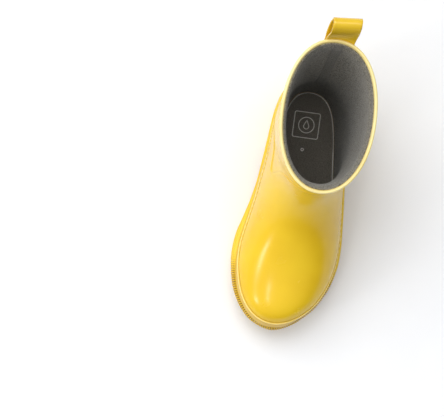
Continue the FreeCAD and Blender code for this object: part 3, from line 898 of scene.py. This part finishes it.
def print_line(path):
    """Flat closed printed line on the footbed along (x, forward) points."""
    p = np.array(path)
    ahead = np.roll(p, -1, 0) - np.roll(p, 1, 0)
    side = np.column_stack([-ahead[:, 1], ahead[:, 0]])
    side = side / np.linalg.norm(side, axis=1, keepdims=True) * PRINT_LINE / 2.0
    points = []
    for height in (COVER_TOP - 0.05, COVER_TOP + PRINT_HEIGHT):
        for edge in (p - side, p + side):
            z = np.interp(edge[:, 1], WELT[:, 0], WELT[:, 1]) + height
            points.append(np.column_stack([edge[:, 0], -edge[:, 1], z]))
    low_in, low_out, high_in, high_out = points
    rows = np.vstack([low_in, low_out, high_out, high_in])
    return rows, grid_faces(4, len(p), wrap_rows=True, wrap_columns=True)


def between(a, b, shares):
    """Points on the straight line from a to b at these shares of its length."""
    return [(a[0] + (b[0] - a[0]) * share, a[1] + (b[1] - a[1]) * share) for share in shares]


def footbed_print():
    """Generic mark of a frame, a ring and a raindrop, and a small round size mark."""
    inner = FRAME_HALF - FRAME_CORNER
    corners = []
    for cx, cf, start in ((inner, inner, 0), (-inner, inner, 90), (-inner, -inner, 180), (inner, -inner, 270)):
        corners += arc((LABEL_X + cx, LABEL_FORWARD + cf), FRAME_CORNER, start, start + 90, 6)
    sides = []
    for a, b in zip(corners, corners[1:] + corners[:1]):
        steps = max(1, int(math.dist(a, b) / FRAME_STEP))
        sides += between(a, b, [k / steps for k in range(steps)])
    ring = arc((LABEL_X, LABEL_FORWARD), RING_RADIUS, 0, 352.5, 48)
    drop = arc((LABEL_X, LABEL_FORWARD + DROP_AHEAD), DROP_RADIUS, -30, 210, 20)
    tip = (LABEL_X, LABEL_FORWARD - DROP_TIP)
    drop += between(drop[-1], tip, (0.35, 0.7)) + between(tip, drop[0], (0.0, 0.3, 0.65))
    mark = arc(MARK_PLACE, MARK_RADIUS, 0, 340, 18)
    all_points, all_faces, count = [], [], 0
    for path in (sides, ring, drop, mark):
        points, faces = print_line(path)
        all_points.append(points)
        all_faces.extend((faces + count).tolist())
        count += len(points)
    return np.vstack(all_points), all_faces


print_points, print_faces = footbed_print()
new_piece(
    "footbed_print", print_points, print_faces, label_print, body="footbed",
    nodes=["footbed_label"],
)


# ---------------------------------------------------------------------------------------------------------
# Welt bead with its ribbed rail, and the moulded sole

RIB_PITCH = 1.6
RIB_DEPTH = 0.6
RIB_FROM = 124.0
RIB_FULL = 148.0
BEAD_SPACING = 0.3
BEAD_TOP = -1.2
# How far the medial side is drawn in along the waist, as (forward, distance), full where x is -TUCK_FULL.
WAIST_TUCK = [
    (0.0, 0.0), (11.0, 0.9), (25.0, 1.6), (45.0, 1.9), (62.0, 1.9), (76.0, 1.7), (90.0, 1.2), (104.0, 0.5),
    (120.0, 0.0),
]
TUCK_FULL = 20.0


def tuck(forward, x):
    """How far the sole is drawn in under the upper, along the medial side of the waist."""
    reach = np.interp(forward, *zip(*WAIST_TUCK))
    return reach * np.clip(-x / TUCK_FULL, 0.0, 1.0)


def plan_line(spacing):
    """Dense closed line on the welt's plan outline, its outward directions and its running length."""
    lateral = [(f, right) for f, _, right in PLAN]
    medial = [(f, left + tuck(f, left)) for f, left, _ in PLAN[1:-1]]
    line = through(lateral + medial[::-1], 60, closed=True)
    gaps = np.linalg.norm(np.roll(line, -1, 0) - line, axis=1)
    run = np.concatenate([[0.0], np.cumsum(gaps)])
    count = int(run[-1] / spacing)
    at = np.arange(count) * run[-1] / count
    closed = np.vstack([line, line[:1]])
    even = np.column_stack([np.interp(at, run, closed[:, 0]), np.interp(at, run, closed[:, 1])])
    ahead = np.roll(even, -1, 0) - np.roll(even, 1, 0)
    out = np.column_stack([-ahead[:, 1], ahead[:, 0]])
    return even, out / np.linalg.norm(out, axis=1, keepdims=True), at


def sweep(profile, depth, spacing):
    """Closed sweep round the welt: profile is (outwards, up from the welt line, share of the rib), with a flat
    layout that holds how deep in a gap between ribs each point is, from 0 to 1, which the material darkens as
    painted shade. Above BEAD_TOP the gaps also cut downwards."""
    line, out, at = plan_line(spacing)
    zone = ramp(line[:, 0], RIB_FROM, RIB_FULL)
    gap = (0.5 - 0.5 * np.cos(2.0 * math.pi * at / RIB_PITCH)) * zone
    rows, uv = [], []
    for outwards, up, share in profile:
        sunk = depth * gap * share
        place = line + out * (outwards - sunk)[:, None]
        z = np.interp(line[:, 0] + out[:, 0] * SOLE_EDGE, WELT[:, 0], WELT[:, 1]) + up
        rows.append(np.column_stack([place[:, 1], -place[:, 0], z - sunk * (up > BEAD_TOP)]))
        uv.append(np.column_stack([gap * share, at]) * MM)
    return np.vstack(rows), np.vstack(uv), len(line)


BEAD_RADIUS = 1.45
RAIL = SOLE_EDGE + 0.6
BEAD_CENTRE = (SOLE_EDGE - BEAD_RADIUS, -BEAD_RADIUS + 0.55)
bead_profile = [(-2.0, 0.3, 0.0), (-1.2, 0.95, 0.0), (-0.5, 1.15, 0.3), (0.1, 0.95, 0.8)]
for angle in (78, 66, 54, 42, 30, 18, 6, -8, -22, -40, -58):
    bead_profile.append((*arc(BEAD_CENTRE, BEAD_RADIUS, angle, angle, 1)[0], 1.0))
bead_profile += [
    (SOLE_EDGE - 0.85, -2.5, 0.6), (SOLE_EDGE - 0.8, -2.8, 0.6), (RAIL - 0.3, -3.05, 1.0), (RAIL, -3.5, 1.0),
    (RAIL, -4.6, 1.0), (RAIL - 0.05, -5.5, 1.0), (RAIL - 0.35, -6.05, 0.4), (SOLE_EDGE - 1.0, -6.25, 0.0),
    (-1.0, -6.3, 0.0), (-2.0, -6.3, 0.0),
]
# bead_uv also tells the material where to paint shade into the rib gaps.
bead_points, bead_uv, around = sweep(bead_profile, RIB_DEPTH, BEAD_SPACING)
new_piece(
    "welt_bead_rubber_painted_gap_shade", bead_points,
    grid_faces(len(bead_profile), around, wrap_rows=True, wrap_columns=True),
    rib_rubber_painted_gap_shade, nodes=["welt_bead"], uv=bead_uv,
)

SOLE_VOXEL = 0.8
SOLE_SMOOTHING = 3


def moulded_sole():
    """Copy of the CAD outsole with its edges softened as moulded rubber, drawn in at the waist."""
    piece = bpy.data.objects.new("outsole_rubber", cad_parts["outsole"].data.copy())
    bpy.context.scene.collection.objects.link(piece)
    remesh = piece.modifiers.new("remesh", "REMESH")
    remesh.mode = "VOXEL"
    remesh.voxel_size = SOLE_VOXEL * MM
    smooth = piece.modifiers.new("smooth", "SMOOTH")
    smooth.factor = 0.5
    smooth.iterations = SOLE_SMOOTHING
    shown = piece.evaluated_get(bpy.context.evaluated_depsgraph_get())
    mesh = bpy.data.meshes.new_from_object(shown)
    piece.modifiers.clear()
    piece.data = mesh
    points = np.empty(3 * len(mesh.vertices))
    mesh.vertices.foreach_get("co", points)
    points = points.reshape(-1, 3)
    drawn = (points - ORIGIN) / MM
    points[:, 0] += tuck(-drawn[:, 1], drawn[:, 0]) * MM
    mesh.vertices.foreach_set("co", points.ravel())
    mesh.polygons.foreach_set("use_smooth", [True] * len(mesh.polygons))
    mesh.update()
    mesh.materials.clear()
    mesh.materials.append(sole_rubber)
    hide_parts("outsole")
    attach(piece, "boot")


moulded_sole()


# ---------------------------------------------------------------------------------------------------------
# Pull loop: one strap, both ends sewn to the outside of the leg, the second over the first

STRAP_PATH = [
    (-21.2, 155.8), (-21.75, 160.0), (-22.3, 164.2), (-23.6, 167.2), (-24.6, 170.2), (-25.6, 174.6),
    (-27.2, 179.6), (-29.6, 183.2), (-32.6, 184.4), (-35.0, 182.6), (-35.8, 178.6), (-34.8, 173.8),
    (-32.0, 168.6), (-28.4, 164.4), (-25.4, 160.8), (-23.5, 158.0), (-22.8, 155.0),
]
STRAP_BOUND = 163.0
STRAP_LOOSE = 178.0
STRAP_TWIST = 5.0
STRAP_SHIFT = 1.5
# The leg's back under the strap: where it stands out most, and its curve as 1/mm.
LEG_BACK_MIDDLE = -1.2
LEG_BACK_CURVE = 0.019


def strap():
    """Strap of constant thickness along STRAP_PATH, with rounded edges. It lies round the leg up to STRAP_BOUND,
    and is flat, turned and shifted a little from STRAP_LOOSE on."""
    line = through(STRAP_PATH, 10)
    ahead = np.gradient(line, axis=0)
    ahead = ahead / np.linalg.norm(ahead, axis=1, keepdims=True)
    side = np.column_stack([ahead[:, 1], -ahead[:, 0]])
    run = np.concatenate([[0.0], np.cumsum(np.linalg.norm(np.diff(line, axis=0), axis=1))])
    half, thick, soft = STRAP_WIDTH / 2.0, STRAP_THICKNESS / 2.0, 0.5
    across = np.linspace(-half + soft, half - soft, 15)
    section = [(x, thick) for x in across]
    section += [(half - 0.15, thick * 0.7), (half, 0.0), (half - 0.15, -thick * 0.7)]
    section += [(-x, -y) for x, y in section]
    points, uv = [], []
    for (f, z), (side_f, side_z), at in zip(line, side, run):
        free = float(ramp(z, STRAP_BOUND, STRAP_LOOSE))
        lean = math.radians(STRAP_TWIST) * free
        for x, y in section:
            wrap = LEG_BACK_CURVE * (x - LEG_BACK_MIDDLE) ** 2 * (1.0 - free)
            back = -(f + side_f * y) - wrap
            points.append((x * math.cos(lean) + STRAP_SHIFT * free, back + x * math.sin(lean), z + side_z * y))
            uv.append((x * MM, at * MM))
    faces = grid_faces(len(line), len(section), wrap_columns=True).tolist()
    last = (len(line) - 1) * len(section)
    faces.append(list(range(len(section)))[::-1])
    faces.append([last + k for k in range(len(section))])
    return points, faces, uv


strap_points, strap_faces, strap_uv = strap()
pull_strap = new_piece(
    "pull_strap", strap_points, strap_faces, strap_rubber, body=None,
    nodes=["pull_loop", "loop_tail_inner", "loop_tail_outer"], uv=strap_uv, sharp=60.0,
)


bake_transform(pull_strap)


# ---------------------------------------------------------------------------------------------------------
# Hidden pieces keep their CAD shapes

HIDDEN = {
    "heel_core": sponge,
    "bottom_filler": sponge,
    "shank": shank_steel,
    "insole_board": board,
    "toe_puff": stiffener,
    "counter_stiffener": stiffener,
    "vamp_shell": yellow_rubber,
    "heel_shell": yellow_rubber,
}
for node, material in HIDDEN.items():
    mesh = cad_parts[node].data
    mesh.materials.clear()
    mesh.materials.append(material)


# ---------------------------------------------------------------------------------------------------------
# Stage

FLOOR_HALF = 6.0


def area_light(name, place, aim, size, power, height=None):
    """Round light, or with a height an upright one, aimed at a point."""
    light = bpy.data.lights.new(name, "AREA")
    light.shape = "ELLIPSE" if height else "DISK"
    light.size = size
    light.size_y = height or size
    light.energy = power
    lamp = bpy.data.objects.new(name, light)
    lamp.location = place
    lamp.rotation_euler = (Vector(aim) - Vector(place)).to_track_quat("-Z", "Y").to_euler()
    bpy.context.scene.collection.objects.link(lamp)


floor_mesh = bpy.data.meshes.new("floor")
floor_corners = [(x * FLOOR_HALF, y * FLOOR_HALF, 0.0) for x, y in ((-1, -1), (1, -1), (1, 1), (-1, 1))]
floor_mesh.from_pydata(floor_corners, [], [(0, 1, 2, 3)])
floor = bpy.data.objects.new("floor", floor_mesh)
bpy.context.scene.collection.objects.link(floor)
floor_paint = Material("floor_paint", 0.9)
floor_tone = floor_paint.pick(floor_paint.noise(60.0), (0.3, (0.86,) * 3), (0.7, (0.88,) * 3))
floor_mesh.materials.append(floor_paint.finish(floor_tone))

SKY_BRIGHT_SIDE = (-0.45, 0.30, 0.84)
SKY_DARK = 0.06
SKY_BRIGHT = 0.86

world = bpy.data.worlds.new("studio")
bpy.context.scene.world = world
world.use_nodes = True
sky = world.node_tree
bright_side = sky.nodes.new("ShaderNodeVectorMath")
bright_side.operation = "DOT_PRODUCT"
bright_side.inputs[1].default_value = SKY_BRIGHT_SIDE
sky.links.new(sky.nodes.new("ShaderNodeTexCoord").outputs["Generated"], bright_side.inputs[0])
dome = sky.nodes.new("ShaderNodeMapRange")
for socket, value in (("From Min", -0.35), ("From Max", 0.85), ("To Min", SKY_DARK), ("To Max", SKY_BRIGHT)):
    dome.inputs[socket].default_value = value
sky.links.new(bright_side.outputs["Value"], dome.inputs["Value"])
sky.nodes["Background"].inputs["Color"].default_value = (0.95, 0.98, 1.04, 1.0)
sky.links.new(dome.outputs[0], sky.nodes["Background"].inputs["Strength"])

area_light("key", (-1.1, 0.9, 2.2), (0.0, 0.0, 0.05), 2.0, 29.5)
area_light("overhead", (-0.15, 0.45, 2.30), (0.0, 0.0, 0.05), 1.6, 12.0)
area_light("low_softbox", (-1.44, -0.86, 0.87), (-0.02, -0.08, 0.04), 0.24, 3.8, height=0.36)
area_light("high_softbox", (-0.63, -0.66, 1.65), (-0.02, -0.08, 0.04), 0.22, 1.9)
bpy.context.scene.view_settings.view_transform = "Standard"

# The camera looks almost straight down, 2.5 m above the floor. CAMERA_PLACE is in its own axes, from the back of
# the heel, and VIEW_WIDTH is how much of the floor it takes in.
CAMERA_TURN = (-1.543, 5.212, -7.763)
CAMERA_PLACE = (-61.92, -90.04, 2500.0)
VIEW_WIDTH = 322.28
SENSOR = 36.0

turn = np.eye(3)
for angle, (a, b) in zip(CAMERA_TURN, ((1, 2), (2, 0), (0, 1))):
    step = np.eye(3)
    c, s = math.cos(math.radians(angle)), math.sin(math.radians(angle))
    step[a, a], step[a, b], step[b, a], step[b, b] = c, -s, s, c
    turn = step @ turn
eye = turn.T @ np.array(CAMERA_PLACE) * MM + ORIGIN
camera_data = bpy.data.cameras.new("camera")
camera_data.sensor_width = SENSOR
camera_data.lens = CAMERA_PLACE[2] * SENSOR / VIEW_WIDTH
camera_data.clip_end = 50.0
camera = bpy.data.objects.new("camera", camera_data)
camera.matrix_world = Matrix.Translation(Vector(eye)) @ Matrix(turn.T.tolist()).to_4x4()
bpy.context.scene.collection.objects.link(camera)
bpy.context.scene.camera = camera
